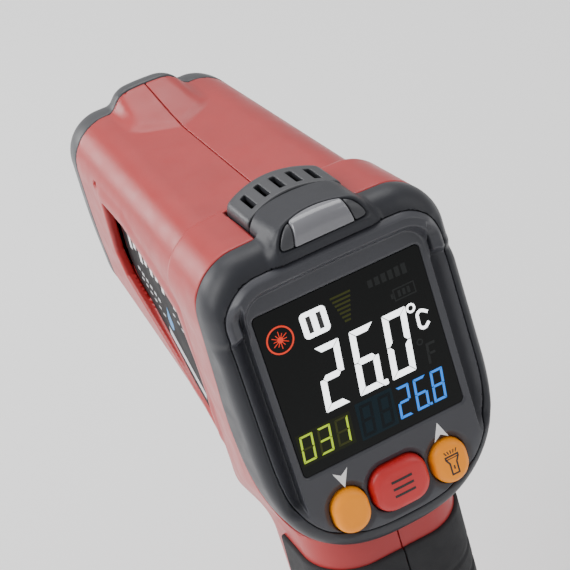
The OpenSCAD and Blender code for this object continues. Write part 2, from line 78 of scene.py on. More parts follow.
PRESS = joint("mode_button_press")["axis"]
LEAN = math.atan2(-PRESS[2], PRESS[1])  # the display leans back by this much
SIN, COS = math.sin(LEAN), math.cos(LEAN)
WINDOW_T = 1.2  # thickness of the window plate
_low, _high = box_mm("display_window")
DISPLAY_Y, DISPLAY_Z = (_low[1:] + _high[1:]) / 2 + WINDOW_T / 2 * np.array([-COS, SIN])
MUZZLE_Y = box_mm("left_housing")[1][1]  # where the red housing ends
FRONT_Y = box_mm("muzzle_ring")[1][1]
TRIGGER_Y, TRIGGER_Z = [v / MM for v in joint("trigger_pull")["pos_m"][1:]]
DOOR_Y, DOOR_Z = [v / MM for v in joint("battery_door_hinge")["pos_m"][1:]]
DOOR_TOP = box_mm("battery_door")[1][2]
AXIS_Z = mid_z("infrared_lens")
LASER_Z = mid_z("laser_module")
TORCH_Z = mid_z("torch_lens")
HAND = {-1: "left", 1: "right"}  # a side's sign along X, and its name


def to_display(y, z):
    """Height u up the display and height n out of it."""
    dy, dz = y - DISPLAY_Y, z - DISPLAY_Z
    return dy * SIN + dz * COS, dz * SIN - dy * COS


def from_display(x, u, n):
    """The point at height u up the display and n out of it."""
    return x, DISPLAY_Y + u * SIN - n * COS, DISPLAY_Z + u * COS + n * SIN


# ---------------------------------------------------------------- fields

def smin(a, b, r):
    """The lower of two fields, with a fillet of about r."""
    h = np.maximum(r - np.abs(a - b), 0) / r
    return np.minimum(a, b) - h * h * r / 4


def smax(a, b, r):
    """The higher of two fields, with a round of about r."""
    return -smin(-a, -b, r)


def soft_ramp(t, width):
    """0 below 0 and t above it, with a smooth knee."""
    return (t + np.sqrt(t * t + width * width)) / 2


def step01(a, b, t):
    """0 before a and 1 after b, with level ends."""
    s = np.clip((t - a) / (b - a), 0, 1)
    return s * s * (3 - 2 * s)


def box2(x, y, hx, hy, r):
    """Rounded rectangle of half sizes hx, hy and corner radius r."""
    qx, qy = np.abs(x) - hx + r, np.abs(y) - hy + r
    return np.hypot(np.maximum(qx, 0), np.maximum(qy, 0)) + np.minimum(np.maximum(qx, qy), 0) - r


def polygon2(x, y, points):
    """Distance to a closed outline, negative inside."""
    inside = np.zeros(np.broadcast(x, y).shape, bool)
    best = np.full(inside.shape, 1e9)
    for (ax, ay), (bx, by) in zip(points, points[1:] + points[:1]):
        ex, ey = bx - ax, by - ay
        t = np.clip(((x - ax) * ex + (y - ay) * ey) / (ex * ex + ey * ey), 0, 1)
        best = np.minimum(best, (x - ax - t * ex) ** 2 + (y - ay - t * ey) ** 2)
        if ey:
            crosses = (ay > y) != (by > y)
            inside ^= crosses & (x < ax + (y - ay) * ex / ey)
    return np.where(inside, -1, 1) * np.sqrt(best)


def slab(t, low, high):
    """Negative between low and high."""
    return np.maximum(low - t, t - high)


# Sizes of the outer shapes: HW is a half width, HD a half depth and R a corner radius. The
# head's and the frame's TOP, BOTTOM and MID are heights up the display, the others along Z.
HEAD_HW, HEAD_TOP, HEAD_BOTTOM, HEAD_MID, HEAD_R = 25.0, 28.9, -37.7, -8.0, 9.8
CHIN_P = 2.6  # squareness of the head's lower half
BOW = 0.001  # how strongly the head's top edge arches
FRAME_HW, FRAME_TOP, FRAME_BOTTOM, FRAME_R = 22.6, 24.6, -33.4, 8.0
FRAME_P = 2.8  # squareness of the frame's lower half
RIM_HEIGHT = 2.7  # height of the raised rim over the display
SCOOP_X, SCOOP_DEPTH = 19.0, 2.5  # the scoops beside the display
BARREL_Y = 78.0  # where the next two sizes hold
BARREL_HW, BARREL_BOTTOM, BARREL_TOP = 20.0, 98.0, 142.35
RIDGE_HW, RIDGE_TOP, RIDGE_BACK = 8.9, 142.2, 58.5
GRIP_HW, GRIP_HD, GRIP_R, GRIP_TOP = 17.4, 18.9, 11.0, 100
COLLAR_Y0, COLLAR_Y1, COLLAR_TOP = 1.0, 16.9, 145.2


def shield(x, u, hw, top, bottom, corner, p=CHIN_P):
    """The head's outline on the display: a rounded box above, a superellipse below."""
    half = 30.0
    upper = box2(x, u + BOW * x * x - (top - half), hw, half, corner)
    v = np.maximum(HEAD_MID - u, 0) / (HEAD_MID - bottom)
    lower = ((np.abs(x) / hw) ** p + v ** p) ** (1 / p)
    return np.where(u > HEAD_MID, upper, (lower - 1) * hw)


def frame_outline(x, u):
    """Parting line between the display frame and the bezel round it."""
    return shield(x, u, FRAME_HW, FRAME_TOP, FRAME_BOTTOM, FRAME_R, FRAME_P)


def front_height(x, u):
    """How far the head's front face stands out of the display's plane."""
    side = np.abs(x) - SCOOP_X
    along = step01(-24.5, -21.0, u) * (1 - step01(17.5, 21.5, u))
    scoop = SCOOP_DEPTH * step01(0.0, 0.35, side) * (1 - step01(0.35, 4.5, side)) * along
    edge = frame_outline(x, u)
    rim = RIM_HEIGHT * step01(-4.3, -2.4, edge) - 1.2 * step01(-1.2, 0.3, edge)
    return rim * step01(12.6, 14.8, u) - scoop


def head_outline(x, u, rise=0.0):
    """The head's outer edge, whose top may rise above the real one."""
    return shield(x, u, HEAD_HW, HEAD_TOP + rise, HEAD_BOTTOM, HEAD_R)


def front_round(u):
    """Radius with which the head's side runs into its front face."""
    return 4.0 + 3.0 * step01(10, 16, u) + 2.0 * step01(-20, -34, u)


def behind_front(x, y, z):
    """The space behind the head's front face and its rounded edge."""
    u, n = to_display(y, z)
    return smax(head_outline(x, u, 4.0), n, front_round(u))


def barrel(x, y, z):
    """The barrel's skin: it widens and deepens from the muzzle to the head."""
    d = BARREL_Y - y
    hw = BARREL_HW + 0.043 * d - 0.08 * soft_ramp(118.0 - z, 6.0)
    bottom = BARREL_BOTTOM - 0.16 * d - 0.0009 * d * d
    mid, hh = (BARREL_TOP + bottom) / 2, (BARREL_TOP - bottom) / 2
    r = np.where(z > mid, 9.5, 8.0)
    return box2(x, z - mid, hw, hh, r)


def ridge(x, y, z):
    """The raised ridge on the barrel's top over the laser."""
    top = RIDGE_TOP + 0.215 * (y - 59.0) - x * x / 110
    side = np.abs(x) - RIDGE_HW + 0.05 * (y - 66)
    back = (RIDGE_BACK - y) + 0.62 * np.abs(x)
    block = smax(smax(z - top, side + 0.35 * (z - 143), 3.4), back, 3.0)
    return np.maximum(block, 134 - z)


def grip_mid(z):
    """The grip's middle line, which curves forward as it rises."""
    return 0.055 * z + 0.00068 * z * z


def grip(x, y, z):
    """The grip's skin: it slims from the foot to the hand and swells again above."""
    hd = GRIP_HD - 0.05 * z + 0.00036 * z * z
    hw = GRIP_HW - 0.02 * z + 0.0002 * z * z
    side = box2(x, y - grip_mid(z), hw, hd, GRIP_R)
    return smax(smax(side, -z, 3.0), z - GRIP_TOP, 3.0)


def parting(y, z):
    """Negative on the grey bezel's side of its joint with the red housing."""
    return y - COLLAR_Y0 + 0.43 * soft_ramp(110.0 - z, 5.0)


def collar(x, y, z):
    """The head's red part, which steps down to the barrel."""
    t = y - COLLAR_Y0
    hw = HEAD_HW - 0.05 * t - 0.02 * soft_ramp(112 - z, 4)
    hw = hw - 0.125 * np.maximum(t, 0) * step01(136, 124, z)
    top = COLLAR_TOP - 0.045 * t
    upper = box2(x, z + BOW * x * x - (top - 40), hw, 40, HEAD_R)
    return smax(smax(upper, behind_front(x, y, z), 1.0), y - COLLAR_Y1, 2.0)


def outer_skin(x, y, z):
    """The red housing's outer surface, before any cut."""
    behind = behind_front(x, y, z) - 0.5 * soft_ramp(y + 1, 3)
    core = smax(barrel(x, y, z), behind, 2.0)
    blend = 1.2 + 5.8 * step01(-4, 12, y)
    body = smin(smin(core, collar(x, y, z), 2.2), grip(x, y, z), blend)
    return smin(body, ridge(x, y, z), 1.5)


GRILLE_Y0, GRILLE_Y1, GRILLE_R = 6.4, 17.4, 22.0  # rear and front edge, and their radius


def grille_arc(x):
    """How far the grille's curved edges fall back at x from the middle."""
    return np.sqrt(np.maximum(GRILLE_R ** 2 - x * x, 1.0)) - GRILLE_R


# ---------------------------------------------------------------- meshing

def axis(low, high, step, fine=()):
    """Grid planes from low to high. Each (place, step) in fine draws closer ones there."""
    out = [low]
    while out[-1] < high:
        t = out[-1]
        out.append(t + min([step] + [s + 0.22 * abs(t - c) for c, s in fine]))
    return np.array(out)


def evaluate(field, xs, ys, zs):
    """The field's values on the grid, worked out a few planes at a time."""
    values = np.empty((len(xs), len(ys), len(zs)), np.float32)
    rows = max(1, 400_000 // (len(ys) * len(zs)))

    def part(i):
        values[i:i + rows] = field(xs[i:i + rows, None, None], ys[None, :, None],
                                   zs[None, None, :])
    with ThreadPoolExecutor(4) as pool:
        list(pool.map(part, range(0, len(xs), rows)))
    return values


def gradient(field, p):
    """The field's slope at each point, by central differences."""
    e = 0.01
    out = np.empty_like(p)
    for k in range(3):
        a, b = p.copy(), p.copy()
        a[:, k] += e
        b[:, k] -= e
        out[:, k] = (field(*a.T) - field(*b.T)) / (2 * e)
    return out


def mesh_object(name, points, faces, normals):
    """A mesh object from points in millimetres and an array of faces of one size."""
    mesh = bpy.data.meshes.new(name)
    sides = faces.shape[1]
    mesh.vertices.add(len(points))
    mesh.vertices.foreach_set("co", (points * MM).astype(np.float32).ravel())
    mesh.loops.add(faces.size)
    mesh.loops.foreach_set("vertex_index", faces.astype(np.int32).ravel())
    mesh.polygons.add(len(faces))
    mesh.polygons.foreach_set("loop_start", np.arange(0, faces.size, sides, dtype=np.int32))
    mesh.update(calc_edges=True)
    mesh.validate()
    mesh.polygons.foreach_set("use_smooth", np.ones(len(mesh.polygons), bool))
    mesh.normals_split_custom_set_from_vertices(normals.astype(np.float32))
    obj = bpy.data.objects.new(name, mesh)
    bpy.context.scene.collection.objects.link(obj)
    return obj


def solid(name, field, low, high, step, fine_x=(), fine_y=(), fine_z=()):
    """Meshes a field and pulls every vertex onto its zero surface."""
    xs, ys, zs = (axis(low[k], high[k], step, fine)
                  for k, fine in enumerate((fine_x, fine_y, fine_z)))
    band = 3 * step
    values = np.clip(evaluate(field, xs, ys, zs), -band, band)
    grid = openvdb.FloatGrid(band)
    grid.copyFromArray(values)
    found, quads = grid.convertToQuads(0.0)
    p = np.stack([np.interp(found[:, k], np.arange(len(a)), a)
                  for k, a in enumerate((xs, ys, zs))], axis=1)
    for _ in range(3):
        g = gradient(field, p)
        length2 = np.maximum((g * g).sum(1), 0.05)
        move = -(field(*p.T) / length2)[:, None] * g
        far = np.linalg.norm(move, axis=1, keepdims=True)
        p += move * np.minimum(1, 0.5 * step / np.maximum(far, 1e-9))
    g = gradient(field, p)
    normals = g / np.maximum(np.linalg.norm(g, axis=1, keepdims=True), 1e-9)
    return mesh_object(name, p, quads, normals)


def finish_piece(obj, body, nodes, slot, material):
    """Gives a meshed piece its material and body, and hides the CAD nodes that it replaces."""
    obj.data.materials.append(material)
    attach(obj, body)
    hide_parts(*nodes)


# ---------------------------------------------------------------- materials

class Nodes:
    """A principled material, and short calls that add nodes to it."""

    def __init__(self, name, base, roughness, **inputs):
        self.material = bpy.data.materials.new(name)
        self.material.use_nodes = True
        self.tree = self.material.node_tree
        self.shader = self.tree.nodes["Principled BSDF"]
        self.shader.inputs["Base Color"].default_value = (*base, 1)
        self.shader.inputs["Roughness"].default_value = roughness
        for key, value in inputs.items():
            self.shader.inputs[key.replace("_", " ")].default_value = value
        self.base = base
        self.roughness = roughness
        self.place = self.node("ShaderNodeTexCoord").outputs["Object"]
        self.height = None

    def node(self, kind, **values):
        node = self.tree.nodes.new(kind)
        for key, value in values.items():
            setattr(node, key, value)
        return node

    def link(self, output, node, socket):
        self.tree.links.new(output, node.inputs[socket])

    def noise(self, size_mm, detail=4.0, stretch=None):
        """Noise whose features are about size_mm across."""
        texture = self.node("ShaderNodeTexNoise")
        texture.inputs["Scale"].default_value = 1 / (size_mm * MM)
        texture.inputs["Detail"].default_value = detail
        place = self.place
        if stretch:
            mapping = self.node("ShaderNodeMapping")
            mapping.inputs["Scale"].default_value = stretch
            self.link(place, mapping, "Vector")
            place = mapping.outputs["Vector"]
        self.link(place, texture, "Vector")
        return texture.outputs["Fac"]

    def ranged(self, value, low, high):
        """Stretches the middle of a noise's range over low to high."""
        node = self.node("ShaderNodeMapRange")
        node.inputs["From Min"].default_value = 0.3
        node.inputs["From Max"].default_value = 0.7
        node.inputs["To Min"].default_value = low
        node.inputs["To Max"].default_value = high
        self.link(value, node, "Value")
        return node.outputs["Result"]

    def colour_variation(self, size_mm, amount, stretch=None):
        """The base colour drifts by the share amount over patches of size_mm."""
        ramp = self.node("ShaderNodeMix", data_type="RGBA")
        ramp.inputs["A"].default_value = (*(c * (1 - amount) for c in self.base), 1)
        ramp.inputs["B"].default_value = (*(min(1, c * (1 + amount)) for c in self.base), 1)
        self.link(self.ranged(self.noise(size_mm, 3, stretch), 0, 1), ramp, "Factor")
        self.link(ramp.outputs["Result"], self.shader, "Base Color")
        return self

    def roughness_variation(self, size_mm, amount):
        low, high = self.roughness - amount, self.roughness + amount
        self.link(self.ranged(self.noise(size_mm), low, high), self.shader, "Roughness")
        return self

    def bump(self, size_mm, depth_mm, stretch=None, value=None):
        """Adds relief of about depth_mm."""
        node = self.node("ShaderNodeBump")
        node.inputs["Distance"].default_value = depth_mm * MM
        self.link(value or self.noise(size_mm, 3, stretch), node, "Height")
        if self.height:
            self.link(self.height.outputs["Normal"], node, "Normal")
        self.height = node
        self.link(node.outputs["Normal"], self.shader, "Normal")
        return self


def moulded(name, base, roughness, grain=0.35, depth=0.012, **inputs):
    """Plastic with a fine spark-eroded grain and faint uneven gloss."""
    made = Nodes(name, base, roughness, **inputs)
    made.colour_variation(9.0, 0.05).roughness_variation(4.0, 0.05)
    made.bump(grain, depth).bump(6.0, depth)
    return made.material


def polished(name, base, roughness, **inputs):
    """A smooth moulded or coated surface."""
    made = Nodes(name, base, roughness, **inputs)
    made.colour_variation(5.0, 0.06).roughness_variation(2.5, 0.03).bump(3.0, 0.004)
    return made.material


def metal(name, base, roughness, stretch=(1, 1, 1)):
    """Plated or turned metal. stretch draws its grain out into lines."""
    made = Nodes(name, base, roughness, Metallic=1.0)
    made.colour_variation(1.5, 0.08).roughness_variation(0.8, 0.07)
    made.bump(0.25, 0.004, stretch=stretch)
    return made.material


def rubber(name, base):
    """Matt rubber with an open grain."""
    made = Nodes(name, base, 0.82, Specular_IOR_Level=0.35)
    made.colour_variation(7.0, 0.1).roughness_variation(3.0, 0.06).bump(0.5, 0.05)
    return made.material


def circuit_board(name):
    """Green mask over faint tracks."""
    made = Nodes(name, (0.012, 0.12, 0.045), 0.35)
    cells = made.node("ShaderNodeTexBrick")
    cells.inputs["Scale"].default_value = 1 / (1.6 * MM)
    cells.inputs["Color1"].default_value = (0.012, 0.11, 0.04, 1)
    cells.inputs["Color2"].default_value = (0.016, 0.14, 0.055, 1)
    cells.inputs["Mortar"].default_value = (0.03, 0.2, 0.08, 1)
    cells.inputs["Mortar Size"].default_value = 0.04
    made.link(made.place, cells, "Vector")
    made.link(cells.outputs["Color"], made.shader, "Base Color")
    made.roughness_variation(2.0, 0.06)
    made.bump(0.4, 0.01, value=cells.outputs["Fac"])
    return made.material


def glowing(name, colour, strength):
    """A segment of the display, whose light is slightly uneven."""
    made = Nodes(name, tuple(0.2 * c for c in colour), 0.25, Specular_IOR_Level=0.16)
    tint = made.node("ShaderNodeMix", data_type="RGBA")
    tint.inputs["A"].default_value = (*(0.93 * c for c in colour), 1)
    tint.inputs["B"].default_value = (*colour, 1)
    made.link(made.ranged(made.noise(1.2), 0, 1), tint, "Factor")
    made.link(tint.outputs["Result"], made.shader, "Emission Color")
    made.shader.inputs["Emission Strength"].default_value = strength
    made.colour_variation(2.0, 0.1)
    return made.material


def clear_plastic(name, tint=(0.9, 0.92, 0.95), roughness=0.12):
    """Clear plastic with a slightly uneven moulded surface."""
    made = Nodes(name, tint, roughness, Transmission_Weight=0.85, IOR=1.49)
    made.colour_variation(3.0, 0.03).roughness_variation(1.5, 0.04).bump(1.5, 0.03)
    return made.material


RED = moulded("red_plastic", (0.36, 0.02, 0.021), 0.36)
GREY = moulded("grey_plastic", (0.018, 0.019, 0.024), 0.42, Specular_IOR_Level=0.32)
# The frame plate's grey is the bezel's grey plastic made about twice as bright: painted light on the front face,
# which the lamps barely reach.
GREY_PAINTED_LIGHT = moulded("grey_plastic_painted_light", (0.036, 0.037, 0.045), 0.42)
DARK = moulded("dark_plastic", (0.034, 0.035, 0.04), 0.42)
BLACK = moulded("black_plastic", (0.012, 0.012, 0.013), 0.5)
PRINT_WHITE = moulded("white_ink", (0.8, 0.8, 0.8), 0.5, 0.2, 0.003)
PRINT_BLACK = moulded("black_ink", (0.01, 0.01, 0.01), 0.5, 0.2, 0.003)
PRINT_SILVER = moulded("silver_ink", (0.5, 0.52, 0.54), 0.35, 0.2, 0.003)
PRINT_BLUE = moulded("blue_ink", (0.03, 0.22, 0.5), 0.4, 0.2, 0.003)
AMBER = moulded("amber_cap", (1.0, 0.3, 0.002), 0.42, 0.3, 0.008, Specular_IOR_Level=0.3)
BUTTON_RED = moulded("red_cap", (0.52, 0.018, 0.02), 0.38, 0.3, 0.008)
RUBBER = rubber("grip_rubber", (0.02, 0.02, 0.022))
FILM = moulded("label_film", (0.006, 0.006, 0.007), 0.55, 0.3, 0.004, Specular_IOR_Level=0.12)
WINDOW = polished("smoked_window", (0.003, 0.0035, 0.0035), 0.1, Specular_IOR_Level=0.16)
LENS_CLEAR = clear_plastic("clear_plastic")
LENS_FROST = moulded("frosted_lens", (0.15, 0.15, 0.165), 0.2, 0.3, 0.004, Coat_Weight=0.6)
STEEL = metal("zinc_plate", (0.42, 0.42, 0.42), 0.34)

SLOT_MATERIALS = {
    "red_shell": RED, "grey_shell": GREY, "dark_shell": DARK, "window": WINDOW,
    "amber_button": AMBER, "red_button": BUTTON_RED, "clear_lens": LENS_CLEAR,
    "ir_lens": polished("infrared_plastic", (0.02, 0.02, 0.024), 0.2),
    "black_plastic": BLACK, "label_film": FILM, "rubber_grip": RUBBER, "steel": STEEL,
    "brass": metal("turned_brass", (0.72, 0.5, 0.2), 0.25, (1, 8, 1)),
    "board": circuit_board("circuit_board"),
    "chip": moulded("epoxy", (0.012, 0.012, 0.012), 0.6, 0.15, 0.01),
    "white_plastic": moulded("white_plastic", (0.75, 0.75, 0.72), 0.5),
    "lcd_glass": polished("display_glass", (0.05, 0.055, 0.06), 0.08, Coat_Weight=0.4),
    "led": clear_plastic("led_epoxy", (0.95, 0.93, 0.75), 0.08),
    "cell_wrap": polished("cell_sleeve", (0.015, 0.05, 0.03), 0.25),
    "flex": polished("polyimide", (0.45, 0.2, 0.03), 0.25),
    "elastomer": rubber("pink_elastomer", (0.5, 0.18, 0.2)),
    "wire_insulation": polished("wire_sleeve", (0.4, 0.01, 0.01), 0.35),
}


# ---------------------------------------------------------------- the red housing

LABEL_X, LABEL_Y, LABEL_FLOOR = 21.2, 40.0, 19.5  # the side wall and the recess in it
LABEL_TURN = math.radians(3.4)  # the side wall's taper
LABEL = [(60, 131.6), (61.5, 119), (59, 114), (43, 106), (31, 99.5), (20, 95.5), (18, 98),
         (19.5, 112), (21.5, 124), (30, 127.2), (47.5, 131.8)]
SLOT_HW, SLOT_Y0, SLOT_Y1, SLOT_Z0, SLOT_Z1 = 6.4, 12, 35.0, 60.5, 99.0  # for the trigger
DOOR_HW, DOOR_R = 11.0, 2.1  # the battery door and its roll
WALL = 2.0
SEAM = 0.07  # half the gap between the two halves
TONGUE = 0.75  # reach of the lip that closes the seam inside
SCREWS = [(1, 80), (3, 62), (-8, 17)]  # y and z, as in the CAD
SCREW_SEAT, SCREW_HEAD_T, SCREW_WELL_R = 13.5, 1.6, 2.4
DIMPLE_Y, DIMPLE_Z = 64.5, 134.5  # the small blind hole over the label
DIMPLE_R, DIMPLE_FLOOR = 0.7, 19.2
HOOD_HW, HOOD_Z = 10.3, 145.0  # the lamp's hood, at the height HOOD_Z
HOOD_TOP, HOOD_REAR, HOOD_FOOT = 149.35, 7.1, 138


def label_depth(x, y):
    """Distance out from the middle, square to the tapering side wall."""
    return (LABEL_X + (np.abs(x) - LABEL_X) * math.cos(LABEL_TURN)
            + (y - LABEL_Y) * math.sin(LABEL_TURN))


def label_place(side):
    """Turns a place (y, z) on the side wall and a distance out into a point."""
    def place(y, z, out):
        dx, dy = out - LABEL_X, y - LABEL_Y
        return (side * (LABEL_X + dx * math.cos(LABEL_TURN) - dy * math.sin(LABEL_TURN)),
                LABEL_Y + dx * math.sin(LABEL_TURN) + dy * math.cos(LABEL_TURN), z)
    return place


def hood_foot(x, y, z, grow, y1):
    """The space of the lamp's hood and the grille over the head, as far as y1."""
    f = np.maximum(slab(y, -4.0, y1 + grille_arc(x) + grow), np.abs(x) - 10.1 - grow)
    return np.maximum(f, HOOD_FOOT - z)


def door_space(x, y, z):
    """The opening for the door: its panel, its roll and the space that it swings through."""
    beside = np.abs(x) - DOOR_HW - 0.2
    roll = np.hypot(y - DOOR_Y, z - DOOR_Z) - DOOR_R - 0.25
    swing = np.maximum(slab(z, DOOR_Z - DOOR_R - 0.2, DOOR_Z), DOOR_Y - y)
    panel = np.maximum(10 - y, slab(z, DOOR_Z, DOOR_TOP + 0.15))
    return np.maximum(np.minimum.reduce([panel, roll, swing]), beside)


def trigger_slot(x, y, z):
    slot = smax(np.abs(x) - SLOT_HW, slab(y, SLOT_Y0, SLOT_Y1), 1.0)
    return smax(slot, slab(z, SLOT_Z0, SLOT_Z1), 1.0)


def cut_left_holes(f, x, y, z):
    """Takes the screw wells and the dimple out of the left half."""
    for sy, sz in SCREWS:
        well = smax(np.hypot(y - sy, z - sz) - SCREW_WELL_R, x + SCREW_SEAT, 0.3)
        f = smax(f, -well, 0.6)
    pit = np.maximum(np.hypot(y - DIMPLE_Y, z - DIMPLE_Z) - DIMPLE_R, x + DIMPLE_FLOOR)
    return smax(f, -pit, 0.5)


def housing(side):
    """One half of the red casing."""
    def field(x, y, z):
        outline = polygon2(y, z, LABEL)
        pad = 0.45 * (1 - step01(1.8, 4.2, outline)) * step01(12, 15, np.abs(x))
        skin = outer_skin(x, y, z) - pad
        f = smax(skin, -parting(y, z) + 0.1, 0.4)
        f = smax(f, y - MUZZLE_Y, 0.3)
        depth = label_depth(x, y)
        f = smax(f, -smax(outline - 0.2, LABEL_FLOOR - depth, 0.8), 0.8)
        f = smax(f, -(skin + WALL), 0.3)
        floor_plate = np.maximum(outline - 1.5, slab(depth, LABEL_FLOOR - WALL, LABEL_FLOOR))
        f = np.minimum(f, np.maximum(floor_plate, skin))
        f = smax(f, -trigger_slot(x, y, z), 1.0)
        f = smax(f, -door_space(x, y, z), 0.5)
        f = smax(f, -hood_foot(x, y, z, 0.12, GRILLE_Y1), 0.3)
        if side < 0:
            f = cut_left_holes(f, x, y, z)
        tongue = -side * TONGUE * step01(-1.0, -1.1, skin)
        return smax(f, SEAM - side * x - tongue, 0.3)
    low = [-27 if side < 0 else -1, -22, -1]
    high = [1 if side < 0 else 27, MUZZLE_Y + 1, 149]
    shell = solid(HAND[side] + "_shell", field, low, high, 0.55, fine_x=((0, 0.12),),
                  fine_z=((0, 0.3),))
    finish_piece(shell, "housing", [HAND[side] + "_housing"], "red_shell", RED)


# ---------------------------------------------------------------- head: bezel, hood, frame

WINDOW_HW, WINDOW_HH, WINDOW_R = 17.5, 16.7, 1.0
LAND = 0.3  # the land stands this far over the window
# Place x, u of each button's middle, and its width and height
BUTTONS = {"mode_button": (0, -26.3, 12.2, 9.6), "up_button": (11, -26.8, 7.6, 9.2),
           "down_button": (-11, -26.8, 7.6, 9.2)}
CORNER_CUT = 2.2  # how much is cut off a button's corners
CAP_TOP, CAP_FOOT, CAP_SAG = 1.95, -3.3, 0.012  # a button's crown, foot and dome
SLOT_PITCH = 3.4  # between the grille's slots
LENS_HW = 6.1  # the lamp lens, at the height HOOD_Z


def button_outline(x, u, spec):
    """Rounded block with cut corners."""
    cx, cu, w, h = spec
    ax, au = np.abs(x - cx), np.abs(u - cu)
    f = smax(ax - w / 2, au - h / 2, 0.8)
    return smax(f, (ax + au - (w + h) / 2 + CORNER_CUT) / math.sqrt(2), 1.2)


def face_height(x, u):
    """The front face over the window's plane, with a shallow dish round each button."""
    window = box2(x, u, WINDOW_HW, WINDOW_HH, WINDOW_R)
    h = front_height(x, u) + LAND * step01(0.05, 0.6, window)
    for spec in BUTTONS.values():
        h = h - 0.45 * (1 - step01(0.3, 1.6, button_outline(x, u, spec)))
    return h


def head_front(x, y, z):
    """The head behind its front face, and the display's coordinates u and n."""
    u, n = to_display(y, z)
    return smax(head_outline(x, u), n - face_height(x, u), front_round(u)), u, n


def hood(x, y, z):
    """The raised block over the display that holds the alarm lamp."""
    up = z - HOOD_Z
    sides = np.abs(x) - HOOD_HW + 0.42 * up + 0.02 * up ** 2
    top = z - HOOD_TOP + 0.085 * (y + 7) + x * x / 110
    f = smax(smax(sides, top, 2.4), -HOOD_REAR - y + 0.1 * up, 3.0)
    return np.maximum(f, HOOD_FOOT + 1 - z)


def lamp_recess(x, y, z, grow):
    """The lamp's recess: a trapezoid from behind, whose upper edge arches over the hood."""
    sides = np.abs(x) - HOOD_HW - 0.3 + 0.85 * soft_ramp(z - HOOD_Z, 0.8) - grow
    f = smax(sides / 1.28, 144.6 - z - grow, 0.8)
    return smax(f, y + 2.8 + 0.042 * x * x - grow, 1.0)


def bezel(x, y, z):
    """The grey surround, open for the frame, the lamp and the grille's cap."""
    front, u, n = head_front(x, y, z)
    skin = smin(front, hood(x, y, z), 1.3)
    back = smin(parting(y, z) + 0.1, hood_foot(x, y, z, 0.0, GRILLE_Y0), 0.2)
    f = smax(skin, back, 0.4)
    f = smax(f, -(front + WALL), 0.3)
    f = smax(f, -np.maximum(frame_outline(x, u) - 0.03, -7 - n), 0.2)
    f = smax(f, -lamp_recess(x, y, z, 0.0), 0.5)
    cap = np.maximum(GRILLE_Y0 - 0.05 + grille_arc(x) - y, np.abs(x) - HOOD_HW)
    return smax(f, -np.maximum(cap, HOOD_FOOT - z), 0.25)


def frame_plate(x, y, z):
    """The plate round the window, with the holes for the buttons."""
    front, u, n = head_front(x, y, z)
    f = smax(front, frame_outline(x, u) + 0.04, 0.25)
    f = np.maximum(f, -2.2 - 1.5 * step01(17.7, 18.2, np.abs(x)) - n)
    window = box2(x, u, WINDOW_HW + 0.08, WINDOW_HH + 0.08, WINDOW_R)
    f = smax(f, -np.maximum(window, -WINDOW_T - 0.2 - n), 0.2)
    f = np.maximum(f, -box2(x, u, 15.5, 15.0, 1.0))
    for spec in BUTTONS.values():
        f = smax(f, -(button_outline(x, u, spec) - 0.2), 0.4)
    return f


def dome_height(x, u, spec):
    """A button's domed top over the display's plane."""
    return CAP_TOP - CAP_SAG * ((x - spec[0]) ** 2 + (u - spec[1]) ** 2)


def button(spec):
    """A domed cap on a flange that keeps it in the frame."""
    def field(x, y, z):
        u, n = to_display(y, z)
        outline = button_outline(x, u, spec)
        cap = smax(outline + 0.06 * soft_ramp(n, 0.3), n - dome_height(x, u, spec), 1.5)
        cap = np.maximum(cap, CAP_FOOT - n)
        flange = smax(outline - 0.45, slab(n, CAP_FOOT, CAP_FOOT + 0.7), 0.2)
        return smin(cap, flange, 0.2)
    return field


def grille_cap(x, y, z):
    """The sounder's cap: a low dome between two arcs, with five slots."""
    along = y - grille_arc(x)
    sag = x * x / 57.4
    top = z - 148.35 + sag + 0.03 * (y - 9)
    f = smax(smax(top, along - GRILLE_Y1 + 0.1, 2.6), GRILLE_Y0 + 0.08 - along, 0.5)
    f = smax(smax(f, np.abs(x) - 9.98, 1.2), 141.9 - z, 0.3)
    hollow = np.maximum(slab(along, GRILLE_Y0 + 2, GRILLE_Y1 - 2), np.abs(x) - 8.4)
    f = np.maximum(f, -np.maximum(hollow, z - 146.6 + sag))
    beside = np.minimum.reduce([np.abs(x - SLOT_PITCH * k) for k in range(-2, 3)])
    slots = smax(beside - 0.62, slab(along, GRILLE_Y0 + 2.0, GRILLE_Y0 + 7.2), 0.3)
    notches = np.maximum(np.maximum(beside - 0.5, GRILLE_Y1 - 1.3 - along),
                         slab(z, 144.6, 146.9 - sag))
    return smax(smax(f, -slots, 0.3), -notches, 0.3)


def lamp_wings(x, y, z):
    """The grey fillers on both sides of the lamp's lens."""
    f = smax(hood(x, y, z) + 0.2, lamp_recess(x, y, z, -0.1), 0.5)
    f = np.maximum(f, y + 2.6)
    return smax(f, LENS_HW + 0.15 - np.abs(x) - 0.2 * (z - HOOD_Z), 0.3)


def lamp_lens(x, y, z):
    """The frosted lens between the fillers."""
    f = smax(hood(x, y, z) + 0.02, lamp_recess(x, y, z, -0.08), 0.5)
    f = np.maximum(f, y + 2.7)
    return smax(f, np.abs(x) - LENS_HW + 0.2 * (z - HOOD_Z), 0.4)


# ---------------------------------------------------------------- muzzle, grip, trigger

CONE_R, LASER_R, TORCH_R = 8.9, 2.3, 4.1  # the openings in the muzzle's face
PAD_RISE, PAD_SUNK = 0.8, 0.4  # the rubber pad over and under the grip's skin
PAD_Z0, PAD_Z1 = 9.5, 71.5
GROOVE, GROOVE_PITCH = 0.45, 5.0
RIB, RIB_PITCH = 0.5, 2.0  # the ribs for the thumb on the door
RIBS_Z0, RIBS_Z1, RIBS_HW = 46, 53.5, 6.5
TRIGGER_HW, TRIGGER_BORE_R = 5.95, 1.55
TRIGGER_Y0, TRIGGER_Z0, TRIGGER_Z1 = 19.8, 62.5, 98.2  # its rear, tip and root


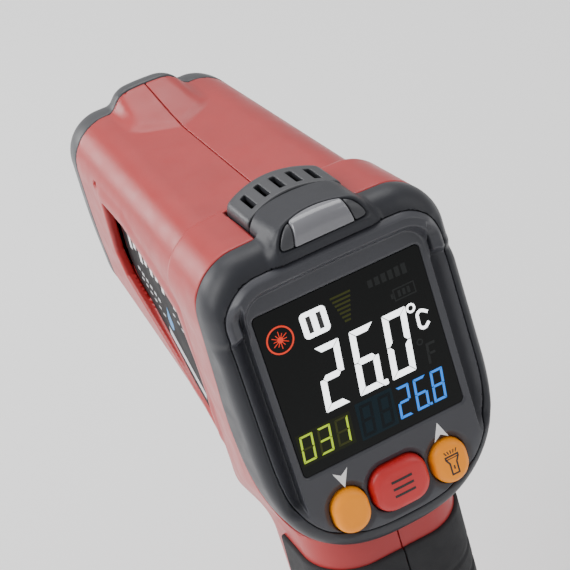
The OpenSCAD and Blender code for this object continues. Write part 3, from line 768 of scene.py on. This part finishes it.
def muzzle(x, y, z):
    """The front ring: it rounds off forwards, and a spigot holds it in the housing."""
    t = np.clip((y - MUZZLE_Y) / (FRONT_Y - MUZZLE_Y), 0, 0.995)
    fall = 1 - np.sqrt(1 - t * t)
    skin = smin(barrel(x, np.minimum(y, MUZZLE_Y), z) + 2.2 * fall,
                ridge(x, np.minimum(y, MUZZLE_Y + 1), z) + 4.6 * fall, 1.5)
    f = smax(skin, y - FRONT_Y + 0.05, 1.5)
    f = smax(f, MUZZLE_Y + 0.1 - y, 0.3)
    spigot = np.maximum(skin + 2.3, slab(y, MUZZLE_Y - 4, MUZZLE_Y + 2))
    f = np.minimum(f, spigot)
    f = smax(f, -np.maximum(skin + 3.8, y - FRONT_Y + 2.6), 0.4)
    dish = smax(np.hypot(x, z - AXIS_Z) - 12.5 - 0.9 * (y - FRONT_Y), FRONT_Y - 1.2 - y, 0.8)
    f = smax(f, -dish, 0.8)
    f = smax(f, -(np.hypot(x, z - AXIS_Z) - CONE_R), 0.6)
    f = smax(f, -(np.hypot(x, z - LASER_Z) - LASER_R), 0.5)
    seat = np.maximum(np.hypot(x, z - LASER_Z) - LASER_R - 0.8, y - MUZZLE_Y - 3.2)
    f = np.maximum(f, -seat)
    return smax(f, -(np.hypot(x, z - TORCH_Z) - TORCH_R), 0.6)


def grip_pad(side):
    """The rubber on one side of the grip, with grooves across its rear part."""
    def field(x, y, z):
        skin = grip(x, y, z)
        rows = np.abs(((z - 14) % GROOVE_PITCH) - GROOVE_PITCH / 2)
        zone = step01(15, 18, z) * (1 - step01(60, 63, z)) * (1 - step01(-3, 0, y - grip_mid(z)))
        groove = GROOVE * (1 - step01(0.3, 1.0, rows)) * zone
        f = smax(skin - PAD_RISE + groove, -skin - PAD_SUNK, 0.2)
        edge = smax(slab(z, PAD_Z0, PAD_Z1), y - grip_mid(z) - 4.0 - 0.05 * np.abs(z - 40), 3.0)
        f = smax(f, edge, 0.6)
        for sy, sz in SCREWS[1:] if side < 0 else []:
            f = smax(f, -np.maximum(np.hypot(y - sy, z - sz) - SCREW_WELL_R - 0.3, x), 0.4)
        return smax(f, 0.1 - side * x, 0.3)
    return field


def door(x, y, z):
    """The battery door: a panel of the grip's front on a roll with two stub pins."""
    skin = grip(x, y, z)
    panel = smax(smax(np.abs(x) - DOOR_HW, 12 - y, 0.4), slab(z, DOOR_Z, DOOR_TOP), 0.5)
    roll = smax(np.hypot(y - DOOR_Y, z - DOOR_Z) - DOOR_R, np.abs(x) - DOOR_HW, 0.4)
    rows = np.abs(((z - 46.5) % RIB_PITCH) - RIB_PITCH / 2)
    ribs = RIB * (1 - step01(0.2, 0.7, rows))
    ribs = ribs * (1 - step01(-0.3, 0.3, slab(z, RIBS_Z0, RIBS_Z1)))
    ribs = ribs * (1 - step01(-0.6, 0.2, np.abs(x) - RIBS_HW))
    f = smax(smin(panel, roll, 0.4), skin + ribs, 0.4)
    shell = np.minimum(smax(f, -(skin + WALL), 0.3), smax(roll, skin, 0.3))
    stubs = np.maximum(np.hypot(y - DOOR_Y, z - DOOR_Z) - 0.9, np.abs(x) - DOOR_HW - 1.6)
    return np.minimum(shell, smax(stubs, 10 - np.abs(x), 0.1))


def trigger(x, y, z):
    """The trigger's lever, hollowed for the finger, with the bore for its pin."""
    front = 32.5 - 1.35 * np.cos(2 * math.pi * (z - 75.8) / 22.0)
    f = smax(y - front, TRIGGER_Y0 + 0.06 * (88 - z) - y, 1.0)
    f = smax(f, TRIGGER_Z0 - z + 0.25 * np.maximum(y - 30, 0), 1.2)
    f = smax(f, (z - TRIGGER_Z1 + 0.95 * soft_ramp(y - 25.8, 1.0)) / 1.3, 1.5)
    f = smax(f, np.abs(x) - TRIGGER_HW, 1.8)
    return smax(f, -(np.hypot(y - TRIGGER_Y, z - TRIGGER_Z) - TRIGGER_BORE_R), 0.2)


# ---------------------------------------------------------------- printed and lit marks

def arc(cx, cy, r, a0, a1, n=16):
    """Points along an arc, angles in degrees."""
    return [(cx + r * math.cos(math.radians(a0 + (a1 - a0) * i / n)),
             cy + r * math.sin(math.radians(a0 + (a1 - a0) * i / n))) for i in range(n + 1)]


def stroke(points, width, closed=False):
    """A line of one width along the points, as four-sided pieces with mitred joints."""
    p = np.array(points, float)
    ahead = np.roll(p, -1, 0) - p
    back = p - np.roll(p, 1, 0)
    if not closed:
        ahead[-1], back[0] = back[-1], ahead[0]
    ahead /= np.linalg.norm(ahead, axis=1, keepdims=True)
    back /= np.linalg.norm(back, axis=1, keepdims=True)
    middle = ahead + back
    middle /= np.linalg.norm(middle, axis=1, keepdims=True)
    side = np.stack([-middle[:, 1], middle[:, 0]], 1)
    side *= (width / 2 / np.maximum((middle * ahead).sum(1), 0.4))[:, None]
    count = len(p) if closed else len(p) - 1
    return [[tuple(p[i] - side[i]), tuple(p[(i + 1) % len(p)] - side[(i + 1) % len(p)]),
             tuple(p[(i + 1) % len(p)] + side[(i + 1) % len(p)]), tuple(p[i] + side[i])]
            for i in range(count)]


def rectangle(cx, cy, w, h):
    """A rectangle's corners round the middle cx, cy."""
    return [(cx - w / 2, cy - h / 2), (cx + w / 2, cy - h / 2), (cx + w / 2, cy + h / 2),
            (cx - w / 2, cy + h / 2)]


def rounded_rectangle(cx, cy, w, h, r):
    out = []
    for sx, sy, a in ((1, 1, 0), (-1, 1, 90), (-1, -1, 180), (1, -1, 270)):
        out += arc(cx + sx * (w / 2 - r), cy + sy * (h / 2 - r), r, a, a + 90, 6)
    return out


DIGIT_LEAN = 0.115  # how far a digit leans over for each mm of height
SEGMENTS = {"0": "abcdef", "1": "bc", "2": "abged", "3": "abgcd", "4": "fgbc", "5": "afgcd",
            "6": "afgedc", "7": "abc", "8": "abcdefg", "9": "abcdfg"}


def digit(which, x, y, w, h, t, gap):
    """The lit segments, t wide, of a leaning digit with its lower left corner at x, y."""
    m, half = h / 2, t / 2
    bars = {
        "a": [(gap, h), (w - gap, h), (w - t - gap, h - t), (t + gap, h - t)],
        "d": [(t + gap, t), (w - t - gap, t), (w - gap, 0), (gap, 0)],
        "f": [(0, h - gap), (t, h - t - gap), (t, m + half + gap), (half, m + gap), (0, m + gap)],
        "e": [(0, m - gap), (half, m - gap), (t, m - half - gap), (t, t + gap), (0, gap)],
        "b": [(w, h - gap), (w, m + gap), (w - half, m + gap), (w - t, m + half + gap),
              (w - t, h - t - gap)],
        "c": [(w, m - gap), (w, gap), (w - t, t + gap), (w - t, m - half - gap),
              (w - half, m - gap)],
        "g": [(half + gap, m), (t, m + half), (w - t, m + half), (w - half - gap, m),
              (w - t, m - half), (t, m - half)],
    }
    return [[(x + px + DIGIT_LEAN * py, y + py) for px, py in bars[s]] for s in SEGMENTS[which]]


def digits(text, places, y, w, h, t, gap=0.06):
    """A row of digits, each with its left edge at one of the places."""
    return [piece for which, x in zip(text, places) for piece in digit(which, x, y, w, h, t, gap)]


def ring_band(cx, cy, r, width, n=24):
    """A round line of n straight pieces."""
    return stroke(arc(cx, cy, r, 0, 360 * (n - 1) / n, n - 1), width, closed=True)


def sheets(name, groups, place, out0, out1, body):
    """Thin raised marks. groups is a list of (material, outlines); place turns (x, y, out)
    into a point in millimetres."""
    points, faces, indices = [], [], []
    for index, (_, outlines) in enumerate(groups):
        for outline in outlines:
            ends = zip(outline, outline[1:] + outline[:1])
            area = sum(a[0] * b[1] - b[0] * a[1] for a, b in ends)
            ring = outline if area > 0 else outline[::-1]
            n, start = len(ring), len(points)
            points += [place(px, py, out0) for px, py in ring]
            points += [place(px, py, out1) for px, py in ring]
            faces.append([start + n + i for i in range(n)])
            faces.append([start + i for i in reversed(range(n))])
            faces += [[start + i, start + (i + 1) % n, start + n + (i + 1) % n, start + n + i]
                      for i in range(n)]
            indices += [index] * (n + 2)
    mesh = bpy.data.meshes.new(name)
    mesh.from_pydata([tuple(c * MM for c in p) for p in points], [], faces)
    mesh.validate()
    for material, _ in groups:
        mesh.materials.append(material)
    mesh.polygons.foreach_set("material_index", indices)
    obj = bpy.data.objects.new(name, mesh)
    bpy.context.scene.collection.objects.link(obj)
    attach(obj, body)
    return obj


def laser_sign(x, u):
    """A ring round a starburst: the laser is on."""
    marks = ring_band(x, u, 2.6, 0.32, 32) + [arc(x, u, 0.62, 0, 330, 11)]
    for k in range(12):
        a = math.radians(30 * k)
        reach = 1.75 if k % 2 else 1.35
        marks += stroke([(x + 0.5 * math.cos(a), u + 0.5 * math.sin(a)),
                         (x + reach * math.cos(a), u + reach * math.sin(a))], 0.14)
    return marks


def celsius_sign():
    curve = arc(14.2, 3.3, 0.9, 60, 180, 8) + arc(14.1, 1.6, 0.9, 180, 300, 8)
    return (ring_band(12.5, 5.5, 0.75, 0.42)
            + stroke([(15.6, 3.4)] + curve + [(15.3, 1.5)], 0.62))


def unlit_signs():
    """The Fahrenheit sign, the battery and the row of growing bars, all unlit."""
    marks = ring_band(12.3, -1.6, 0.55, 0.3)
    marks += stroke([(15.2, -2.7), (13.5, -2.7), (13.1, -6.6)], 0.55)
    marks += stroke([(13.3, -4.6), (14.8, -4.6)], 0.5)
    marks += stroke(rectangle(12.3, 9.2, 4.4, 2.2), 0.28, closed=True)
    marks.append(rectangle(9.7, 9.2, 0.6, 1.0))
    marks += [rectangle(11.2 + k, 9.2, 0.6, 1.3) for k in range(3)]
    return marks + [rectangle(6.2 + 1.45 * k, 13.4, 1.0, 1.5 + 0.12 * k) for k in range(6)]


def readout():
    """Everything that the display shows, as thin lit shapes on the window."""
    white = glowing("lit_white", (0.95, 0.98, 1.0), 3.2)
    blue = glowing("lit_blue", (0.015, 0.22, 0.85), 1.4)
    yellow = glowing("lit_yellow", (0.55, 0.8, 0.03), 0.9)
    orange = glowing("lit_orange", (1.0, 0.06, 0.025), 0.9)
    ghost = glowing("unlit_grey", (0.05, 0.055, 0.055), 0.12)
    olive = glowing("unlit_olive", (0.09, 0.1, 0.015), 0.22)
    teal = glowing("unlit_teal", (0.002, 0.022, 0.035), 0.3)
    teal_dark = glowing("unlit_teal_digits", (0.001, 0.008, 0.014), 0.2)
    green_field = glowing("yellow_field", (0.022, 0.027, 0.006), 0.25)

    main = digits("260", (-9.45, -2.1, 4.95), -6.4, 5.1, 12.8, 1.25, 0.1)
    main.append(rounded_rectangle(3.5, -6.0, 1.1, 1.1, 0.3))
    main += celsius_sign()
    main.append(rounded_rectangle(-6.2, 11.1, 5.4, 5.2, 0.9))
    pause = [rectangle(x, 11.1, 0.95, 3.3) for x in (-7.3, -5.1)]
    small = digits("268", (4.15, 7.9, 11.65), -14.5, 2.75, 6.4, 0.52)
    small.append(rectangle(11.0, -14.25, 0.5, 0.5))
    small_ghost = digits("88", (-3.9, 0.1), -14.5, 2.75, 6.4, 0.62)
    count_places = (-16.7, -12.95, -9.2)
    count = digits("031", count_places, -13.9, 2.75, 5.4, 0.42)
    count_ghost = digits("888", count_places, -13.9, 2.75, 5.4, 0.42)
    fan = [rectangle(0.0, 13.9 - 0.86 * k, 4.3 - 0.5 * k, 0.42) for k in range(7)]

    sheets("display_fields", [
        (green_field, [[(-17.0, -14.5), (-5.6, -14.5), (-5.2, -8.0), (-16.8, -8.0)]]),
        (teal, [[(-4.4, -15.0), (3.6, -15.0), (4.1, -7.4), (-3.9, -7.4)]]),
    ], from_display, 0.0, 0.012, "housing")
    sheets("display_ghosts", [(ghost, unlit_signs()), (olive, fan + count_ghost),
                              (teal_dark, small_ghost)], from_display, 0.0, 0.02, "housing")
    sheets("display_segments", [(white, main), (blue, small), (yellow, count),
                                (orange, laser_sign(-13.5, 10.8))], from_display, 0.0, 0.03,
           "housing")
    sheets("display_pause_bars", [(PRINT_BLACK, pause)], from_display, 0.03, 0.04, "housing")


def face_marks():
    """White arrows over the outer buttons, and small icons on the caps."""
    def on_face(x, u, out):
        return from_display(x, u, LAND + out)
    tip, notch = (10.7, -18.3), (10.75, -20.9)
    up = [[tip, (12.3, -22.0), notch], [tip, notch, (9.1, -22.0)]]
    down = [[(-x, -40.2 - u) for x, u in tri] for tri in up]
    sheets("arrow_marks", [(PRINT_WHITE, up + down)], on_face, 0.01, 0.03, "housing")

    def on_cap(spec):
        def place(x, u, out):
            return from_display(x, u, dome_height(x, u, spec) + out)
        return place
    x, u = BUTTONS["up_button"][:2]
    half = [(0.75, -2.3), (0.75, 0.1), (1.35, 1.1), (1.35, 1.6)]
    body = [(x - 0.75, u - 2.3)] + [(x + dx, u + du) for dx, du in half]
    body += [(x - dx, u + du) for dx, du in half[:0:-1]]
    torch = stroke(body, 0.34, closed=True)
    torch += stroke([(x - 1.35, u + 1.1), (x + 1.35, u + 1.1)], 0.2)
    torch += stroke([(x, u - 1.3), (x, u - 0.5)], 0.3)
    for k in range(-2, 3):
        torch += stroke([(x + 0.5 * k, u + 2.05), (x + 0.68 * k, u + 2.75)], 0.22)
    sheets("torch_mark", [(PRINT_BLACK, torch)], on_cap(BUTTONS["up_button"]), 0.0, 0.04,
           "up_button")
    x, u = BUTTONS["mode_button"][:2]
    bars = [rectangle(x - 2.0 + 0.5 * i, u - 1.5 + 1.5 * k, 0.5, 0.5)
            for k in range(3) for i in range(9)]
    sheets("mode_mark", [(PRINT_BLACK, bars)], on_cap(BUTTONS["mode_button"]), 0.0, 0.04,
           "mode_button")


def screw_drive_shade():
    """Black crosses on the housing screws' heads: painted shade standing in for each head's cross-shaped drive
    recess.
    """
    arm, width = 1.2, 0.55

    def on_head(y, z, out):
        return -SCREW_SEAT - SCREW_HEAD_T - out, y, z
    crosses = []
    for y, z in SCREWS:
        crosses += stroke([(y - arm, z), (y + arm, z)], width)
        crosses += stroke([(y, z - arm), (y, z - 0.28)], width)
        crosses += stroke([(y, z + 0.28), (y, z + arm)], width)
    sheets("screw_cross_painted_shade", [(BLACK, crosses)], on_head, 0.0, 0.02, "housing")


def side_label(side):
    """The black film in its recess, with plain slanted bars, a stripe and a drop."""
    out0, out1 = LABEL_FLOOR + 0.02, LABEL_FLOOR + 0.3
    middle = np.mean(LABEL, axis=0)
    film = [tuple(middle + (np.array(p) - middle) * (1 - 1.0 / np.linalg.norm(p - middle)))
            for p in LABEL]
    bars = []
    for k in range(9):
        y0, top = 56.5 - 3.1 * k, 126.0 - 0.35 * k
        foot = top - (4.2 - 1.1 * (k % 2) - 0.5 * (k % 3 == 1))
        bars.append([(y0, foot), (y0 - 1.5, foot), (y0 - 2.2, top), (y0 - 0.7, top)])
    small = [rectangle(54 - 2.2 * k, 117.6 - 0.5 * k, 1.4, 0.8) for k in range(6)]
    small += [rectangle(53 - 2.2 * k, 115.4 - 0.7 * k, 1.4, 0.5) for k in range(6)]
    small += [rectangle(33 - 2.0 * k, 116.6 - 0.8 * k, 1.3, 0.5) for k in range(5)]
    stripe = [[(41.5, 107.3), (25.0, 99.8), (24.4, 101.6), (41.0, 109.6)]]
    drop = [[(38.0, 116.0), (36.4, 112.4), (36.8, 110.8), (38.0, 110.2), (39.2, 110.8),
             (39.6, 112.4)]]
    place = label_place(side)
    name = HAND[side]
    film_piece = sheets(name + "_film", [(FILM, [film])], place, out0, out1, "housing")
    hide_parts(name + "_label")
    sheets(name + "_label_marks", [(PRINT_WHITE, bars), (PRINT_SILVER, small + stripe),
                                   (PRINT_BLUE, drop)], place, out1, out1 + 0.03, "housing")


# ---------------------------------------------------------------- build

def region(node, margin=1.0):
    """Lowest and highest corner of a node's box, grown by the margin."""
    low, high = box_mm(node)
    return list(low - margin), list(high + margin)


for side, hand in HAND.items():
    housing(side)
    low, high = region(hand + "_grip")
    pad = solid(hand + "_pad", grip_pad(side), low, high, 0.4)
    finish_piece(pad, "housing", [hand + "_grip"], "rubber_grip", RUBBER)
    side_label(side)

# name, field, replaced node, body, slot, material, grid step
PIECES = [
    ("bezel_shell", bezel, "rear_bezel", "housing", "grey_shell", GREY, 0.36),
    # The frame plate takes the brightened grey: painted light on the front face.
    ("frame_plate", frame_plate, "display_frame", "housing", "grey_shell", GREY_PAINTED_LIGHT, 0.3),
    ("grille_cap", grille_cap, "buzzer_grille", "housing", "dark_shell", DARK, 0.2),
    ("lamp_wings", lamp_wings, "lamp_frame", "housing", "grey_shell", DARK, 0.2),
    ("lamp_lens", lamp_lens, "alarm_lens", "housing", "clear_lens", LENS_FROST, 0.2),
    ("muzzle_shell", muzzle, "muzzle_ring", "housing", "dark_shell", DARK, 0.4),
    ("door_panel", door, "battery_door", "battery_door", "red_shell", RED, 0.35),
    ("trigger_lever", trigger, "trigger", "trigger", "dark_shell", DARK, 0.35),
    ("mode_cap", button(BUTTONS["mode_button"]), "mode_button", "mode_button", "red_button",
     BUTTON_RED, 0.2),
    ("up_cap", button(BUTTONS["up_button"]), "up_button", "up_button", "amber_button", AMBER, 0.2),
    ("down_cap", button(BUTTONS["down_button"]), "down_button", "down_button", "amber_button",
     AMBER, 0.2),
]
for name, field, node, body, slot_name, material, step in PIECES:
    low, high = region(node, 1.5)
    finish_piece(solid(name, field, low, high, step), body, [node], slot_name, material)

readout()
face_marks()
screw_drive_shade()

SLOTS = {part["node"]: part["material_slot"] for part in frame["record"]["subparts"]}
for node, obj in NODES.items():
    obj.data.materials.clear()
    obj.data.materials.append(SLOT_MATERIALS[SLOTS[node]])


# ---------------------------------------------------------------- stage, light, camera

def floor():
    """A plain pale floor, as a grid of squares."""
    half, cells = 4.0, 8
    row = cells + 1
    ticks = np.linspace(-half, half, row)
    points = [(x, y, 0.0) for x in ticks for y in ticks]
    faces = [[i * row + j, (i + 1) * row + j, (i + 1) * row + j + 1, i * row + j + 1]
             for i in range(cells) for j in range(cells)]
    mesh = bpy.data.meshes.new("floor")
    mesh.from_pydata(points, [], faces)
    obj = bpy.data.objects.new("floor", mesh)
    bpy.context.scene.collection.objects.link(obj)
    pale = Nodes("pale_floor", (0.86, 0.86, 0.86), 0.7)
    pale.colour_variation(300.0, 0.01)
    obj.data.materials.append(pale.material)


LIGHT_AIM = (0.0, 0.03, 0.11)
# name, place, width and height in metres, watts
LIGHTS = [
    ("key", (-0.75, 0.15, 0.65), (0.5, 0.9), 9),
    ("fill", (0.8, -0.5, 0.7), (0.6, 0.8), 2.5),
    ("top", (0.15, 0.6, 1.0), (0.9, 0.6), 6),
    ("rim", (-0.62, 0.95, 0.45), (0.5, 0.4), 5),
]
WORLD_STRENGTH = 0.7

# The camera's heading, dip and roll in degrees, its place from the display's middle and its lens
CAMERA_TURN, CAMERA_DIP, CAMERA_ROLL = 19.625, 31.946, 13.98
CAMERA_X, CAMERA_Y, CAMERA_Z = -95.77, -238.124, 180.144
FOCAL_LENGTH, SENSOR_WIDTH = 106.8, 36.0


def softbox(name, place, size, watts):
    """A rectangular light that faces the object."""
    data = bpy.data.lights.new(name, "AREA")
    data.shape = "RECTANGLE"
    data.size, data.size_y = size
    data.energy = watts
    obj = bpy.data.objects.new(name, data)
    bpy.context.scene.collection.objects.link(obj)
    obj.location = place
    aim = Vector(LIGHT_AIM) - Vector(place)
    obj.rotation_euler = aim.to_track_quat("-Z", "Y").to_euler()


def camera():
    """The main view: over the display's left corner, slightly rolled."""
    turn, dip, roll = (math.radians(a) for a in (CAMERA_TURN, CAMERA_DIP, CAMERA_ROLL))
    view = Vector((math.cos(dip) * math.sin(turn), math.cos(dip) * math.cos(turn), -math.sin(dip)))
    level = Vector((math.cos(turn), -math.sin(turn), 0))
    above = level.cross(view)
    right = math.cos(roll) * level - math.sin(roll) * above
    up = math.sin(roll) * level + math.cos(roll) * above
    data = bpy.data.cameras.new("camera")
    data.lens, data.sensor_width = FOCAL_LENGTH, SENSOR_WIDTH
    data.clip_start, data.clip_end = 0.01, 50
    obj = bpy.data.objects.new("camera", data)
    bpy.context.scene.collection.objects.link(obj)
    place = Vector((CAMERA_X, DISPLAY_Y + CAMERA_Y, DISPLAY_Z + CAMERA_Z)) * MM
    turned = Matrix((right, up, -view)).transposed().to_4x4()
    obj.matrix_world = Matrix.Translation(place) @ turned
    bpy.context.scene.camera = obj


floor()
camera()
for light in LIGHTS:
    softbox(*light)
world = bpy.data.worlds.new("studio")
world.use_nodes = True
world.node_tree.nodes["Background"].inputs["Color"].default_value = (1, 1, 1, 1)
world.node_tree.nodes["Background"].inputs["Strength"].default_value = WORLD_STRENGTH
bpy.context.scene.world = world
